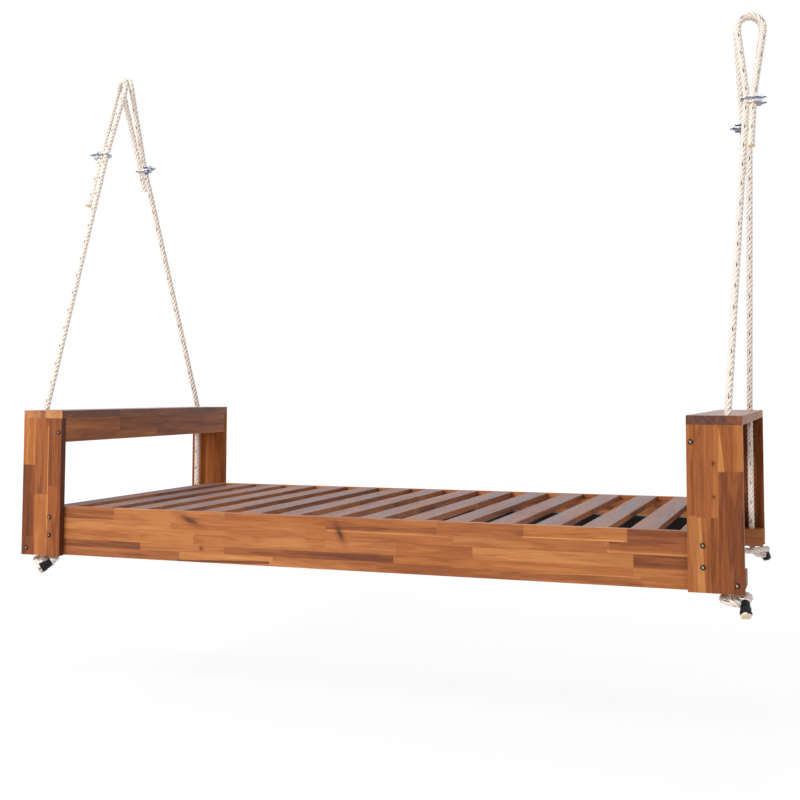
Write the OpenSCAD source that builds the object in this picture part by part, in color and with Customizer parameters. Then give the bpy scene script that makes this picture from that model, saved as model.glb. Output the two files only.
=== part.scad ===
// Hanging swing bed
//
// A daybed of edge-glued hardwood boards, hung on four twisted ropes. Each end is
// an open arm: two posts, a cap with a rope hole near each end and a rail on the
// inner side. Two long rails carry ledgers, a steel beam and sixteen slats.
// Each rope is knotted under a block at the foot of an arm, comes up through the
// block and the cap, and ends in an eye that a U-bolt clip closes. The front and
// the back eye of each end hang side by side on one hook, which isn't part of it.
//
// Bench frame: X = 0 at mid-length, Y = 0 at mid-depth and Z = 0 at the feet of
// the posts. The whole bed is then lowered, so that the origin of the model is
// the middle of the hanging line that joins the two hooks.

/* [Overall] */
// Length of the bed, from outer face to outer face of the arms
bed_length = 2210; // [1900:10:2500]
// Depth of the bed, from the front face to the back face of the posts
bed_depth = 1050; // [850:10:1400]
// Height of the arms, from the feet of the posts to the top of the caps
arm_height = 453; // [360:1:600]

/* [Arms] */
// Width of each cap board along the bed
cap_w = 142; // [130:1:180]
// Thickness of each cap board
cap_t = 24; // [18:1:36]
// Width of each post board along the bed
post_w = 142; // [130:1:180]
// Thickness of each post board
post_t = 22; // [18:1:30]
// Thickness of the rail on the inner side of each arm
arm_rail_t = 22; // [18:1:30]
// Height of the rail on the inner side of each arm
arm_rail_h = 75; // [50:1:110]

/* [Frame] */
// Thickness of the long rails
rail_t = 22; // [20:1:30]
// Height of the long rails
rail_h = 150; // [120:1:200]
// How far the long rails stay above the feet of the posts
rail_lift = 2; // [0:1:20]
// Thickness of the end rails
end_rail_t = 22; // [18:1:30]
// Width of each ledger, from the long rail inwards
ledger_w = 22; // [16:1:40]
// Height of each ledger
ledger_h = 20; // [16:1:40]

/* [Deck] */
// Width of each slat
slat_w = 70; // [50:1:90]
// Thickness of each slat
slat_t = 17; // [12:1:22]
// How far the outermost slats lap over the end rails
slat_lap = 7; // [4:1:16]
// Gap between the end of a slat and the long rail
slat_gap = 0.4; // [0.2:0.1:3]
// Width of the steel beam under the slats
beam_w = 30; // [20:1:60]
// Height of the steel beam
beam_h = 60; // [40:1:80]
// Wall of the steel beam
beam_wall = 2; // [1.5:0.5:4]
// Thickness of the steel hangers that hold the beam
hanger_t = 3; // [2:0.5:5]
// How far each hanger reaches under the beam
hanger_reach = 40; // [25:1:80]

/* [Rope blocks] */
// Width of each rope block along the bed, up to the end rail
block_w = 80; // [70:1:100]
// Depth of each rope block, from the back of the post
block_d = 60; // [50:1:90]
// Height of each rope block
block_h = 56; // [40:1:80]
// How far a rope block stands proud of the outer edge of the post
block_proud = 2; // [0:1:6]
// Width of the chamfer on the outer bottom edge of a rope block
chamfer_w = 6; // [2:1:12]
// Height of the chamfer on the outer bottom edge of a rope block
chamfer_h = 15; // [4:1:30]

/* [Bolts and screws] */
// Diameter of the shank of each bolt
bolt_d = 8; // [6:1:10]
// Diameter of the head of each bolt
bolt_head_d = 14; // [12:1:18]
// Height of the head of each bolt
bolt_head_h = 4.4; // [3:0.1:6]
// Width across corners of the hexagon socket in each bolt
bolt_socket_d = 5.8; // [4:0.1:7]
// How far each bolt reaches into its threaded insert
bolt_reach = 14; // [10:1:15]
// Outer diameter of each threaded insert
insert_d = 12; // [11:0.5:14]
// How far the upper bolt of each post lies below the cap, in the end of the arm rail
arm_bolt_drop = 44; // [15:1:44]
// How far the upper of the two bolts in a long rail lies below the top of the rail
rail_bolt_drop = 32; // [20:1:40]
// Distance between those two bolts
rail_bolt_gap = 55.5; // [30:0.5:60]
// Distance of those two bolts from the end of the long rail
rail_bolt_in = 23; // [16:1:27]
// Distance of the lowest bolt of each post from the outer face of the bed
block_bolt_x = 19; // [14:1:20]
// Height of the lowest bolt of each post, in the rope block
block_bolt_z = 22; // [14:1:40]
// Diameter of the wood screws
screw_d = 4; // [3:0.5:5]
// Diameter of the heads of the wood screws
screw_head_d = 8; // [6.5:0.5:9]
// Length of the screws that hold the slats to the ledgers from below
slat_screw_l = 30; // [24:1:33]
// Length of the screws that hold the end rails to the rope blocks
end_screw_l = 42; // [30:1:45]

/* [Ropes] */
// Diameter of the rope
rope_d = 20; // [16:1:22]
// Distance of each rope from the outer face of the bed, where it passes the arm
rope_inset_x = 40; // [36:1:46]
// Distance of each rope from the front or back face of the posts
rope_inset_y = 54; // [48:1:60]
// Diameter of the rope hole in the cap, wide enough for the rope to lean
cap_hole_d = 26; // [25:1:30]
// Diameter of the rope hole in the rope block
block_hole_d = 23; // [22.5:0.5:26]
// How far below the top of the cap the rope bends to lean
bend_depth = 2; // [1:0.1:3]
// Height of the hanging line above the feet of the posts
hang_height = 1645; // [1400:5:2200]
// How far the two hooks hang outside the outer faces of the bed
hook_outset = 7; // [0:1:60]
// Height of the middle of the rope above the hanging line, at the top of an eye
eye_rise = 16; // [14:1:24]
// Radius of the top of each eye, to the middle of the rope
eye_r = 40; // [30:1:60]
// Clear gap between the two eyes that share a hook
eye_gap = 0.4; // [0.3:0.1:4]

/* [Clips] */
// Diameter of the rod of each U-bolt
clip_rod_d = 8; // [6:0.5:10]
// Thickness of the saddle, along the U-bolt
saddle_t = 18; // [14:1:24]
// Height of the saddle, along the rope
saddle_h = 27; // [20:1:30]
// Depth of the groove that the saddle has for the rope
groove_depth = 6; // [3:0.5:8]
// Thickness of each nut
nut_t = 7; // [5:0.5:9]
// Width across corners of each nut
nut_d = 15; // [12:0.5:18]
// How far the threads of the U-bolt stand out of the nuts
thread_over = 8; // [3:1:15]

/* [Rope ends] */
// Length of the tape round the end of each rope under the bed
tape_l = 36; // [30:1:60]
// Thickness of the tape
tape_t = 1.2; // [0.5:0.1:2]
// Length of bare rope past the tape
tape_bare = 6; // [4:1:20]

/* [Hidden] */
$fn = 48;

// Every rope has its own names, side, row and numbers in the same order.
ROPES = ["left_front", "left_back", "right_front", "right_back"];
SLATS = ["slat_01", "slat_02", "slat_03", "slat_04", "slat_05", "slat_06", "slat_07", "slat_08",
         "slat_09", "slat_10", "slat_11", "slat_12", "slat_13", "slat_14", "slat_15", "slat_16"];

// Running and fitting gaps
seat_gap = 0.4;         // between soft rope and what it lies against
swing_gap = 0.3;        // between a bight and the legs of its eye
hole_gap = 0.3;         // round the shanks of bolts and screws, on the radius
thread_gap = 0.1;       // between a thread and its nut or insert, on the radius
clip_gap = 0.9;         // between the foot of an eye and the top of its rope
tail_drop = 3;          // how far a tail starts below the foot of its eye
swing_r = 60;           // radius about the hanging line at which an eye parts from its bight
bolt_socket_depth = 2.6; // depth of the hexagon socket in a bolt head
bolt_hole_over = 2;     // how much deeper than its bolt a blind hole is

// Sides and rows: left and front are -1, right and back are +1
rope_side = [-1, -1, 1, 1];
rope_row = [-1, 1, -1, 1];
// Direction from the standing rope to its tail at the clip, along X
tail_side = [-1, -1, 1, -1];
// Direction in which the nuts of each clip point, along X
nut_side = [-1, 1, 1, -1];
// Turn of each eye about the vertical, as its hook turns it
eye_turn = [-35, -35, 15, 15];
// Distance from the bend at the cap to the middle of each clip, along the rope
clip_run = [975, 963, 993, 960];
// Length of each tail below the middle of its clip
tail_l = [207, 80, 160, 149];

// Places that several pieces share
half_l = bed_length / 2;
half_d = bed_depth / 2;
cap_under = arm_height - cap_t;
deck_top = rail_lift + rail_h;
slat_under = deck_top - slat_t;
rail_out = half_d - post_t;            // outer face of a long rail, from mid-depth
rail_in = rail_out - rail_t;           // inner face of a long rail
end_out = half_l - block_w;            // outer face of an end rail, from mid-length
end_in = end_out - end_rail_t;         // inner face of an end rail
arm_in = half_l - post_w;              // inner edge of the posts
slat_first = end_in + slat_lap - slat_w / 2;
slat_pitch = 2 * slat_first / (len(SLATS) - 1);
slat_half = rail_in - slat_gap;
ledger_mid = rail_in - ledger_w / 2;
beam_half = end_in - hanger_t - seat_gap;
beam_under = slat_under - beam_h;
rope_x = half_l - rope_inset_x;
rope_y = half_d - rope_inset_y;
arm_rail_mid = arm_in + arm_rail_t / 2;
bolt_l = post_t + bolt_reach;
end_screw_y = rail_in - ledger_w - screw_head_d / 2;
end_screw_z = [0.35 * block_h, 0.75 * block_h];
hook_x = half_l + hook_outset;
eye_centre_z = hang_height + eye_rise - eye_r;
pair = rope_d + seat_gap;              // middle to middle of the two ropes in a clip
bend_z = arm_height - bend_depth;
clip_foot = saddle_h / 2;              // the foot of an eye, below the middle of its clip
clip_head = saddle_h / 2 + 3;          // where the legs of an eye start to spread
rod_r = rope_d / 2 + clip_rod_d / 2 + seat_gap / 2;
lower_top = bend_z - rope_d / 2 - swing_gap;

// Route of a knot, from the hole in the rope block: X along the bed, Y out of the
// nearer long face, Z up from the foot of the post. The standing rope comes down,
// spreads to a turn round itself, and its tail leaves over the start of the turn.
turn_r = 31;            // radius of the turn, to the middle of the rope
turn_off = 10;          // how far the middle of the turn lies beside the standing rope
turn_low = -31.5;       // height of the rope where the turn starts
turn_climb = 21.9;      // how far the rope climbs in the whole turn
turn_steps = 13;        // steps of the turn
knot_lead = [[0, 0, -8], [2.5, -1.5, -16], [8.5, -5, -24], [18.5, -8.5, -30], [30, -8, -32]];
// The tail either comes down in front of the knot or bends back across it
tail_out = [[43, 0, -9.6], [49.8, 9.6, -11.3], [50.5, 23.7, -14.8], [39, 39.5, -12.8]];
tail_across = [[43, 0, -9.6], [57.7, 5.9, -11.1], [68.9, 23.2, -12.2], [66.9, 38.5, -18.7]];
knot_tail = [tail_across, tail_out, tail_out, tail_out];
// Direction of each taped end, and which way each knot is turned along X
tail_way = [[-0.58, 0.58, -0.47], [0.06, 0.44, -0.58], [0.06, 0.44, -0.58], [0.06, 0.44, -0.58]];
knot_hand = [1, -1, 1, 1];
tape_from = 6;          // how far past the last bend the tape starts

function unit(v) = v / norm(v);
function under_arm(p, i) = [
    rope_side[i] * rope_x + knot_hand[i] * p[0], rope_row[i] * (rope_y + p[1]), p[2]];
function knot_turn() = [for (k = [0 : turn_steps - 1])
    let (a = k * 360 / turn_steps)
    [turn_off + turn_r * cos(a), turn_r * sin(a), turn_low + turn_climb * k / (turn_steps - 1)]];
function tape_at(i, run) = knot_tail[i][len(knot_tail[i]) - 1] + unit(tail_way[i]) * (tape_from + run);
function knot_form(i) = concat(knot_lead, knot_turn(), knot_tail[i], [tape_at(i, tape_l + tape_bare)]);

// Places on a rope: the bend at the cap, the middle of the eye's arc, and the frame
// whose Z runs up along the rope and whose X stays level with the bed
function bend_at(i) = [rope_side[i] * rope_x, rope_row[i] * rope_y, bend_z];
function eye_across(i) = [cos(eye_turn[i]), sin(eye_turn[i]), 0];
function eye_off(i) = rope_row[i] * (rope_d + eye_gap) / 2 * [-sin(eye_turn[i]), cos(eye_turn[i]), 0];
function eye_centre(i) = [rope_side[i] * hook_x, 0, eye_centre_z] + eye_off(i);
function rope_way(i) = unit(eye_centre(i) - bend_at(i));
function lean_x(i) = -asin(rope_way(i)[1]);
function lean_y(i) = atan2(rope_way(i)[0], rope_way(i)[2]);
function across(i) = [cos(lean_y(i)), 0, -sin(lean_y(i))];
function on_rope(i, x, z) = bend_at(i) + x * across(i) + z * rope_way(i);

// Least distance between the surfaces of two stretches of a knot that aren't neighbours
function fine(points, n = 6) = [for (k = [0 : len(points) - 2]) for (j = [0 : n - 1])
    points[k] + (points[k + 1] - points[k]) * j / n];
function runs(points) = let (steps = [for (k = [1 : len(points) - 1]) norm(points[k] - points[k - 1])])
    [for (k = 0, s = 0; k < len(points); s = s + (k < len(steps) ? steps[k] : 0), k = k + 1) s];
function self_gap(points) = let (p = fine(points), s = runs(p))
    min([for (i = [0 : len(p) - 1]) for (j = [i + 1 : len(p) - 1])
        if (s[j] - s[i] > 2.4 * rope_d) norm(p[i] - p[j])]) - rope_d;
echo(knot_self_gap = [for (i = [0 : 3]) self_gap(knot_form(i))]);

// A tube swept along a route. Each ring is turned from the last by the smallest angle,
// so the tube doesn't twist.
function way(p, k) = unit(p[min(k + 1, len(p) - 1)] - p[max(k - 1, 0)]);
function square_to(v, w) = unit(v - (v * w) * w);
function normals(p) = [for (k = 0, n = square_to([1, 0.1, 0], way(p, 0)); k < len(p);
    k = k + 1, n = k < len(p) ? square_to(n, way(p, k)) : n) n];

module swept_tube(route, d, sides) {
    n = normals(route);
    rings = [for (k = [0 : len(route) - 1]) for (j = [0 : sides - 1])
        let (a = 360 * j / sides, m = cross(way(route, k), n[k]))
        route[k] + d / 2 * (cos(a) * n[k] + sin(a) * m)];
    last = (len(route) - 1) * sides;
    walls = [for (k = [0 : len(route) - 2]) for (j = [0 : sides - 1])
        let (a = k * sides + j, b = k * sides + (j + 1) % sides)
        each [[a, a + sides, b + sides], [a, b + sides, b]]];
    low_end = [for (j = [1 : sides - 2]) [0, j, j + 1]];
    high_end = [for (j = [1 : sides - 2]) [last, last + j + 1, last + j]];
    polyhedron(rings, concat(walls, low_end, high_end), convexity = 6);
}

// A round bar from one point to another
module between(p, q, d) {
    v = q - p;
    translate(p)
        rotate([0, acos(v[2] / norm(v)), atan2(v[1], v[0])])
            cylinder(h = norm(v), d = d);
}

// A box given by its lowest and highest corners
module block(low, high) {
    translate(low) cube(high - low);
}

// Children that are drawn for the right, moved to the given side or row by mirroring
module on_side(side) {
    mirror([side < 0 ? 1 : 0, 0, 0]) children();
}
module on_row(row) {
    mirror([0, row < 0 ? 1 : 0, 0]) children();
}

// Children moved to the frame of a rope: Z along the rope, from the bend at the cap
module along_rope(i) {
    translate(bend_at(i)) rotate([lean_x(i), lean_y(i), 0]) children();
}

// ---- Bolt places, drawn for the right back post: [x, z] on its face ----
function bolt_places() = [
    [arm_rail_mid, cap_under - arm_bolt_drop],
    [end_out - rail_bolt_in, deck_top - rail_bolt_drop],
    [end_out - rail_bolt_in, deck_top - rail_bolt_drop - rail_bolt_gap],
    [half_l - block_bolt_x, block_bolt_z]];

// Children at one bolt, with Z pointing out of the face of the post
module at_bolt(place) {
    translate([place[0], half_d, place[1]]) rotate([-90, 0, 0]) children();
}

// Blind holes for the inserts in what lies behind a post
module insert_holes() {
    for (place = bolt_places())
        at_bolt(place) translate([0, 0, -bolt_l - bolt_hole_over])
            cylinder(h = bolt_reach + bolt_hole_over + 1, d = insert_d);
}

// ---- Frame ----
// A long rail, drawn for the back: it stands behind the posts, between the rope blocks
module long_rail(row) {
    color("sienna") on_row(row) difference() {
        block([-end_out, rail_in, rail_lift], [end_out, rail_out, deck_top]);
        for (side = [-1, 1]) on_side(side) insert_holes();
    }
}

// An end rail, drawn for the right: it butts on the rope blocks and carries the last slat
module end_rail(side) {
    color("saddlebrown") on_side(side) difference() {
        block([end_in, -rail_in, rail_lift], [end_out, rail_in, slat_under]);
        for (row = [-1, 1]) on_row(row) for (z = end_screw_z)
            translate([end_in, end_screw_y, z]) rotate([0, 90, 0]) countersunk_hole(end_rail_t);
    }
}

// A ledger along the inner face of a long rail, drawn for the back
module ledger(row) {
    color("saddlebrown") on_row(row) difference() {
        block([-end_in, rail_in - ledger_w, slat_under - ledger_h], [end_in, rail_in, slat_under]);
        for (x = slat_places())
            translate([x, ledger_mid, slat_under - ledger_h]) countersunk_hole(ledger_h);
    }
}

function slat_places() = [for (i = [0 : len(SLATS) - 1]) -slat_first + i * slat_pitch];

// A slat, screwed from below through both ledgers
module slat(i) {
    x = slat_places()[i];
    color("rosybrown") difference() {
        block([x - slat_w / 2, -slat_half, slat_under], [x + slat_w / 2, slat_half, deck_top]);
        for (y = [-ledger_mid, ledger_mid])
            translate([x, y, slat_under - 1])
                cylinder(h = slat_screw_l - ledger_h + 2, d = screw_d + 2 * thread_gap);
    }
}

// A screw hole through a board of the given thickness, with a countersink at its foot
module countersunk_hole(t) {
    translate([0, 0, -1]) cylinder(h = t + 2, d = screw_d + 2 * hole_gap);
    translate([0, 0, -0.01]) cylinder(h = screw_head_d / 2, d1 = screw_head_d + 2 * thread_gap, d2 = 0.02);
}

// A countersunk wood screw, its head flush at Z = 0 and its shank pointing up
module wood_screw(l) {
    color("dimgray") union() {
        cylinder(h = l, d = screw_d);
        cylinder(h = (screw_head_d - screw_d) / 2, d1 = screw_head_d, d2 = screw_d);
    }
}

module slat_screws() {
    for (x = slat_places()) for (y = [-ledger_mid, ledger_mid])
        translate([x, y, slat_under - ledger_h]) wood_screw(slat_screw_l);
}

module end_rail_screws() {
    for (side = [-1, 1]) on_side(side) for (row = [-1, 1]) on_row(row) for (z = end_screw_z)
        translate([end_in, end_screw_y, z]) rotate([0, 90, 0]) wood_screw(end_screw_l);
}

// The steel tube under the middle of the slats
module centre_beam() {
    color("black") difference() {
        block([-beam_half, -beam_w / 2, beam_under], [beam_half, beam_w / 2, slat_under]);
        block([-beam_half - 1, -beam_w / 2 + beam_wall, beam_under + beam_wall],
              [beam_half + 1, beam_w / 2 - beam_wall, slat_under - beam_wall]);
    }
}

// The two steel hangers, each a plate on the end rail and a cup for the beam
module beam_hangers() {
    cup = beam_w / 2 + seat_gap / 2;
    color("dimgray") for (side = [-1, 1]) on_side(side) difference() {
        union() {
            block([end_in - hanger_reach, -cup - hanger_t, beam_under - hanger_t],
                  [end_in, cup + hanger_t, slat_under - beam_w / 2]);
            block([end_in - hanger_t, -cup - beam_w / 2, beam_under - hanger_t],
                  [end_in, cup + beam_w / 2, slat_under - beam_w / 4]);
        }
        block([end_in - hanger_reach - 1, -cup, beam_under], [end_in - hanger_t, cup, slat_under]);
    }
}

// ---- Arms ----
// A cap board with a rope hole near each end, drawn for the right
module cap(side) {
    color("sienna") on_side(side) difference() {
        block([half_l - cap_w, -half_d, cap_under], [half_l, half_d, arm_height]);
        for (y = [-rope_y, rope_y])
            translate([rope_x, y, cap_under - 1]) cylinder(h = cap_t + 2, d = cap_hole_d);
    }
}

// The rail under the inner edge of a cap, drawn for the right
module arm_rail(side) {
    color("sienna") on_side(side) difference() {
        block([arm_in, -rail_out, cap_under - arm_rail_h], [arm_in + arm_rail_t, rail_out, cap_under]);
        for (row = [-1, 1]) on_row(row) insert_holes();
    }
}

// A post board with its four bolt holes, drawn for the right back
module post(i) {
    color("peru") on_side(rope_side[i]) on_row(rope_row[i]) difference() {
        block([arm_in, rail_out, 0], [half_l, half_d, cap_under]);
        for (place = bolt_places())
            at_bolt(place) translate([0, 0, -post_t - 1]) cylinder(h = post_t + 2, d = bolt_d + 2 * hole_gap);
    }
}

// The block that the rope is knotted under, drawn for the right back
module rope_block(i) {
    out = half_l + block_proud;
    color("burlywood") on_side(rope_side[i]) on_row(rope_row[i]) difference() {
        translate([0, rail_out, 0]) rotate([90, 0, 0]) linear_extrude(block_d)
            polygon([[end_out, 0], [out - chamfer_w, 0], [out, chamfer_h], [out, block_h], [end_out, block_h]]);
        translate([rope_x, rope_y, -1]) cylinder(h = block_h + 2, d = block_hole_d);
        insert_holes();
        for (z = end_screw_z) translate([end_out - 1, end_screw_y, z]) rotate([0, 90, 0])
            cylinder(h = end_screw_l - end_rail_t + 2, d = screw_d + 2 * thread_gap);
    }
}

// Sixteen button-head bolts with a hexagon socket
module post_bolts() {
    color("darkgoldenrod") for (i = [0 : 3]) on_side(rope_side[i]) on_row(rope_row[i])
        for (place = bolt_places()) at_bolt(place) difference() {
            union() {
                cylinder(h = bolt_head_h / 2, d = bolt_head_d);
                translate([0, 0, bolt_head_h / 2])
                    cylinder(h = bolt_head_h / 2, d1 = bolt_head_d, d2 = bolt_head_d * 0.62);
                translate([0, 0, -bolt_l]) cylinder(h = bolt_l + 1, d = bolt_d);
            }
            translate([0, 0, bolt_head_h - bolt_socket_depth])
                cylinder(h = bolt_socket_depth + 1, d = bolt_socket_d, $fn = 6);
        }
}

// The threaded inserts that the bolts screw into
module bolt_inserts() {
    color("goldenrod") for (i = [0 : 3]) on_side(rope_side[i]) on_row(rope_row[i])
        for (place = bolt_places()) at_bolt(place) translate([0, 0, -bolt_l]) difference() {
            cylinder(h = bolt_reach, d = insert_d);
            translate([0, 0, -1]) cylinder(h = bolt_reach + 2, d = bolt_d + 2 * thread_gap);
        }
}

// ---- Ropes ----
// The lower end of a rope, down through the arm and the rope block to its knot
module knot(i) {
    route = [for (p = concat([[0, 0, lower_top]], knot_form(i))) under_arm(p, i)];
    color("wheat") swept_tube(route, rope_d, 8);
}

// The tape sleeves near the cut ends of the ropes
module knot_tapes() {
    color("black") for (i = [0 : 3]) difference() {
        between(under_arm(tape_at(i, 0), i), under_arm(tape_at(i, tape_l), i), rope_d + seat_gap + 2 * tape_t);
        between(under_arm(tape_at(i, -1), i), under_arm(tape_at(i, tape_l + 1), i), rope_d + seat_gap);
    }
}

// A hanging rope, from the bend at the cap to just under its clip, and its tail
module hanging_rope(i) {
    top = clip_run[i] - clip_foot - clip_gap;
    color("wheat") along_rope(i) {
        union() {
            sphere(d = rope_d);
            cylinder(h = top - rope_d / 2, d = rope_d);
            translate([0, 0, top - rope_d / 2]) sphere(d = rope_d);
        }
        translate([tail_side[i] * pair, 0, clip_run[i] - tail_l[i]])
            cylinder(h = tail_l[i] - clip_foot - tail_drop, d = rope_d);
    }
}

// A whole eye: two legs that stand in the clip, spread, and close in an arc on the hook
module whole_eye(i) {
    for (leg = [0, 1]) {
        x = leg * tail_side[i] * pair;
        end = eye_centre(i) + (leg == 0 ? -1 : 1) * tail_side[i] * eye_r * eye_across(i);
        shoulder = on_rope(i, x, clip_run[i] + clip_head);
        between(on_rope(i, x, clip_run[i] - clip_foot), shoulder, rope_d);
        translate(shoulder) sphere(d = rope_d + 0.1);
        between(shoulder, end, rope_d);
        translate(end) sphere(d = rope_d + 0.1);
    }
    translate(eye_centre(i)) rotate([90, 0, eye_turn[i]])
        rotate_extrude(angle = 180) translate([eye_r, 0]) circle(d = rope_d);
}

// The round about the hanging line at which the bights part from the legs
module swing_round(r) {
    translate([0, 0, hang_height]) rotate([0, 90, 0]) cylinder(r = r, h = bed_length * 1.5, center = true);
}

// The legs of an eye, which swing with the bed
module eye(i) {
    color("wheat") difference() {
        whole_eye(i);
        swing_round(swing_r + swing_gap);
    }
}

// The tops of the front and back eye of one end, which lie still on the hook
module bights(first) {
    color("wheat") for (i = [first, first + 1]) intersection() {
        whole_eye(i);
        swing_round(swing_r);
    }
}

// ---- Clips ----
// Children in the frame of a clip: Z along the rope, X towards the nuts, from its middle
module at_clip(i) {
    along_rope(i) translate([tail_side[i] * pair / 2, 0, clip_run[i]])
        mirror([nut_side[i] < 0 ? 1 : 0, 0, 0]) children();
}

saddle_in = pair / 2 + rope_d / 2 + seat_gap / 2 - groove_depth;
saddle_out = saddle_in + saddle_t;
nut_out = saddle_out + nut_t;

module clip_u_bolts() {
    color("silver") for (i = [0 : 3]) at_clip(i) union() {
        translate([-pair / 2, 0, 0]) rotate([0, 0, 90])
            rotate_extrude(angle = 180) translate([rod_r, 0]) circle(d = clip_rod_d);
        for (y = [-rod_r, rod_r]) translate([-pair / 2, y, 0]) rotate([0, 90, 0])
            cylinder(h = pair / 2 + nut_out + thread_over, d = clip_rod_d);
    }
}

module clip_saddles() {
    wide = rod_r + clip_rod_d;
    color("silver") for (i = [0 : 3]) at_clip(i) difference() {
        union() {
            block([saddle_in, -wide + clip_rod_d, -saddle_h / 2], [saddle_out, wide - clip_rod_d, saddle_h / 2]);
            for (y = [-rod_r, rod_r]) translate([saddle_in, y, 0]) rotate([0, 90, 0])
                cylinder(h = saddle_t, d = 2 * clip_rod_d);
        }
        translate([pair / 2, 0, -saddle_h]) cylinder(h = 2 * saddle_h, d = rope_d + seat_gap);
        for (y = [-rod_r, rod_r]) translate([saddle_in - 1, y, 0]) rotate([0, 90, 0])
            cylinder(h = saddle_t + 2, d = clip_rod_d + 2 * hole_gap);
    }
}

module clip_nuts() {
    color("lightgray") for (i = [0 : 3]) at_clip(i) for (y = [-rod_r, rod_r])
        translate([saddle_out, y, 0]) rotate([0, 90, 0]) difference() {
            cylinder(h = nut_t, d = nut_d, $fn = 6);
            translate([0, 0, -1]) cylinder(h = nut_t + 2, d = clip_rod_d + 2 * thread_gap);
        }
}

// ---- The bed, lowered so that its origin lies on the hanging line ----
translate([0, 0, -hang_height]) {
    long_rail(-1);  // front_rail
    long_rail(1);  // back_rail
    end_rail(-1);  // left_end_rail
    end_rail(1);  // right_end_rail
    ledger(-1);  // front_ledger
    ledger(1);  // back_ledger
    for (i = [0 : len(SLATS) - 1])
        slat(i);
    centre_beam();
    beam_hangers();
    cap(-1);  // left_cap
    cap(1);  // right_cap
    arm_rail(-1);  // left_arm_rail
    arm_rail(1);  // right_arm_rail
    for (i = [0 : 3]) {
        post(i);
        rope_block(i);
        knot(i);
        hanging_rope(i);
        eye(i);
    }
    post_bolts();
    bolt_inserts();
    slat_screws();
    end_rail_screws();
    knot_tapes();
    clip_u_bolts();
    clip_saddles();
    clip_nuts();
    bights(0);  // left_bights
    bights(2);  // right_bights
}
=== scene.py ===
"""A hanging swing bed of oiled hardwood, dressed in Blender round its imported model.

The real thing is a slatted day bed, 2.2 m long, with an open arm at each end. Four laid ropes
come up from knots under its rope blocks, and end in eyes for two ceiling hooks.
"""
import math
import random

import bpy
from mathutils import Matrix, Vector


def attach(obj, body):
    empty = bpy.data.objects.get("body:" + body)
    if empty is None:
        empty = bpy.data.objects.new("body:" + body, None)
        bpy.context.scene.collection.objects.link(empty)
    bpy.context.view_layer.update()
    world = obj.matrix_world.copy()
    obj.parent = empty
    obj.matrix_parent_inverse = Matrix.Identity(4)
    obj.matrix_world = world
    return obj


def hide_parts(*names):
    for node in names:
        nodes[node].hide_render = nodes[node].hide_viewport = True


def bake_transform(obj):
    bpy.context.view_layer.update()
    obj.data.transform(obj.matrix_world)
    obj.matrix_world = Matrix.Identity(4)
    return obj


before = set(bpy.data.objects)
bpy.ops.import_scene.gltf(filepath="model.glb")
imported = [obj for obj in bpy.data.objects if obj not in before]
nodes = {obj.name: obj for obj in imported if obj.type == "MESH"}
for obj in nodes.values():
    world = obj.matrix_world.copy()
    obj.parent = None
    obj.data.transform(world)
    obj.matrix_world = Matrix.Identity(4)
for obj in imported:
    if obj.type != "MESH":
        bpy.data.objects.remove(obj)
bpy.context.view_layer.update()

# ---- Camera ----
# The photographer stood to the right of the bed's middle, just above deck height, and looked a
# little to the left and slightly up. Lengths are in metres, and the hooks are at height 0.
HANG = 1.645                        # height of the hooks over the feet of the posts
PHOTO_PX, LENS_PX = 800, 1136.718   # side of the photo and focal length, in pixels
AXIS_PX = (429.639, 321.943)        # where the axis of the lens meets the photo
camera_at = Vector((1.30043, -3.53844, 0.51097 - HANG))
yaw, pitch, roll = [math.radians(turn) for turn in (19.0452, 3.5580, 0.0650)]
forward = Vector((-math.sin(yaw) * math.cos(pitch), math.cos(yaw) * math.cos(pitch),
                  math.sin(pitch)))
right = Vector((math.cos(yaw), math.sin(yaw), 0))
up = right.cross(forward)
right, up = (right * math.cos(roll) + up * math.sin(roll),
             up * math.cos(roll) - right * math.sin(roll))
lens = bpy.data.cameras.new("camera")
lens.sensor_width = 36
lens.lens = LENS_PX * lens.sensor_width / PHOTO_PX
lens.shift_x = (PHOTO_PX / 2 - AXIS_PX[0]) / PHOTO_PX
lens.shift_y = (AXIS_PX[1] - PHOTO_PX / 2) / PHOTO_PX
lens.clip_end = 60
camera = bpy.data.objects.new("camera", lens)
aimed = Matrix((right, up, -forward)).transposed().to_4x4()
camera.matrix_world = Matrix.Translation(camera_at) @ aimed
bpy.context.scene.collection.objects.link(camera)
bpy.context.scene.camera = camera
bpy.context.scene.view_settings.view_transform = "Standard"

# ---- Ropes ----
# Four 20 mm ropes of four strands, laid to the right, cream with one dark tracer yarn. Each is
# one piece in the real bed: knot, rope block, cap, clip, eye over the hook, and back to the
# clip with a tail. Here it parts just under its clip, where the rope leans.


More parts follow.
